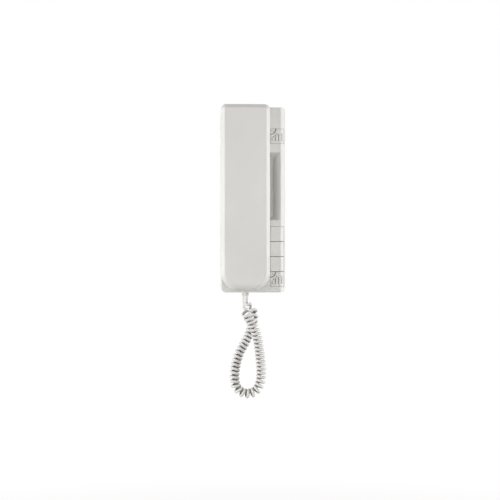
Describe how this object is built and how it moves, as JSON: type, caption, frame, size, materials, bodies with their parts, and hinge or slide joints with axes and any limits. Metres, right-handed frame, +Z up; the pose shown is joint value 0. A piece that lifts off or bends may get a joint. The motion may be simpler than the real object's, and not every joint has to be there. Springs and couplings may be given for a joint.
{
  "type": "audio intercom handset",
  "caption": "Wall-mounted audio intercom: a tapered handset with a curly cord hangs on a flat base with push keys, a finger recess and slotted sound outlets.",
  "frame": {"origin": "on the wall, at the centre of the two wall screw holes, behind the middle of the base", "axes": "+X to the right as seen from the room, +Y into the wall, +Z up"},
  "size_m": [0.0752, 0.0545, 0.3364],
  "materials": {
    "housing": "light grey-white moulded ABS, satin",
    "keys": "light grey-white moulded ABS, satin",
    "cord_jacket": "light grey-white soft PVC",
    "cord_sleeve": "light grey-white soft PVC",
    "board": "green solder mask",
    "dark_plastic": "black moulded plastic",
    "terminal_green": "green moulded plastic",
    "screw_steel": "zinc-plated steel",
    "capsule_metal": "bare aluminium can",
    "foam": "dark soft rubber"
  },
  "bodies": {
    "base": {"base_cover": "housing", "recess_tray": "housing", "rear_plate": "housing", "sound_outlet_upper": "housing", "sound_outlet_lower": "housing", "cover_screws": "screw_steel", "screw_plugs": "housing", "circuit_board": "board", "board_screws": "screw_steel", "key_switches": "dark_plastic", "hook_switch": "dark_plastic", "terminal_block": "terminal_green", "terminal_screws": "screw_steel", "call_sounder": "dark_plastic", "base_collar": "cord_sleeve", "cord_tail_base": "cord_jacket", "cord_coil": "cord_jacket", "cord_tail_handset": "cord_jacket"},
    "hook": {"hook_plunger": "housing"},
    "key_a": {"key_upper": "keys"},
    "key_b": {"key_middle": "keys"},
    "key_c": {"key_lower": "keys"},
    "handset": {"handset_front": "housing", "handset_back": "housing", "handset_screws": "screw_steel", "handset_collar": "cord_sleeve", "earpiece_gasket": "foam", "earpiece_capsule": "dark_plastic", "microphone_boot": "foam", "microphone_capsule": "capsule_metal"}
  },
  "joints": [
    {"name": "handset_lift", "type": "slide", "parent": "base", "child": "handset", "axis": [0, -1, 0], "range_m": [0, 0.04]},
    {"name": "hook_rise", "type": "slide", "parent": "base", "child": "hook", "axis": [0, -1, 0], "range_m": [0, 0.004]},
    {"name": "key_upper_press", "type": "slide", "parent": "base", "child": "key_a", "axis": [0, 1, 0], "range_m": [0, 0.0012], "stiffness_N_per_m": 800, "springref_m": -0.0006},
    {"name": "key_middle_press", "type": "slide", "parent": "base", "child": "key_b", "axis": [0, 1, 0], "range_m": [0, 0.0012], "stiffness_N_per_m": 800, "springref_m": -0.0006},
    {"name": "key_lower_press", "type": "slide", "parent": "base", "child": "key_c", "axis": [0, 1, 0], "range_m": [0, 0.0012], "stiffness_N_per_m": 800, "springref_m": -0.0006}
  ],
  "couplings": [
    {"joint": "hook_rise", "follows": "handset_lift", "ratio": 0.1}
  ]
}
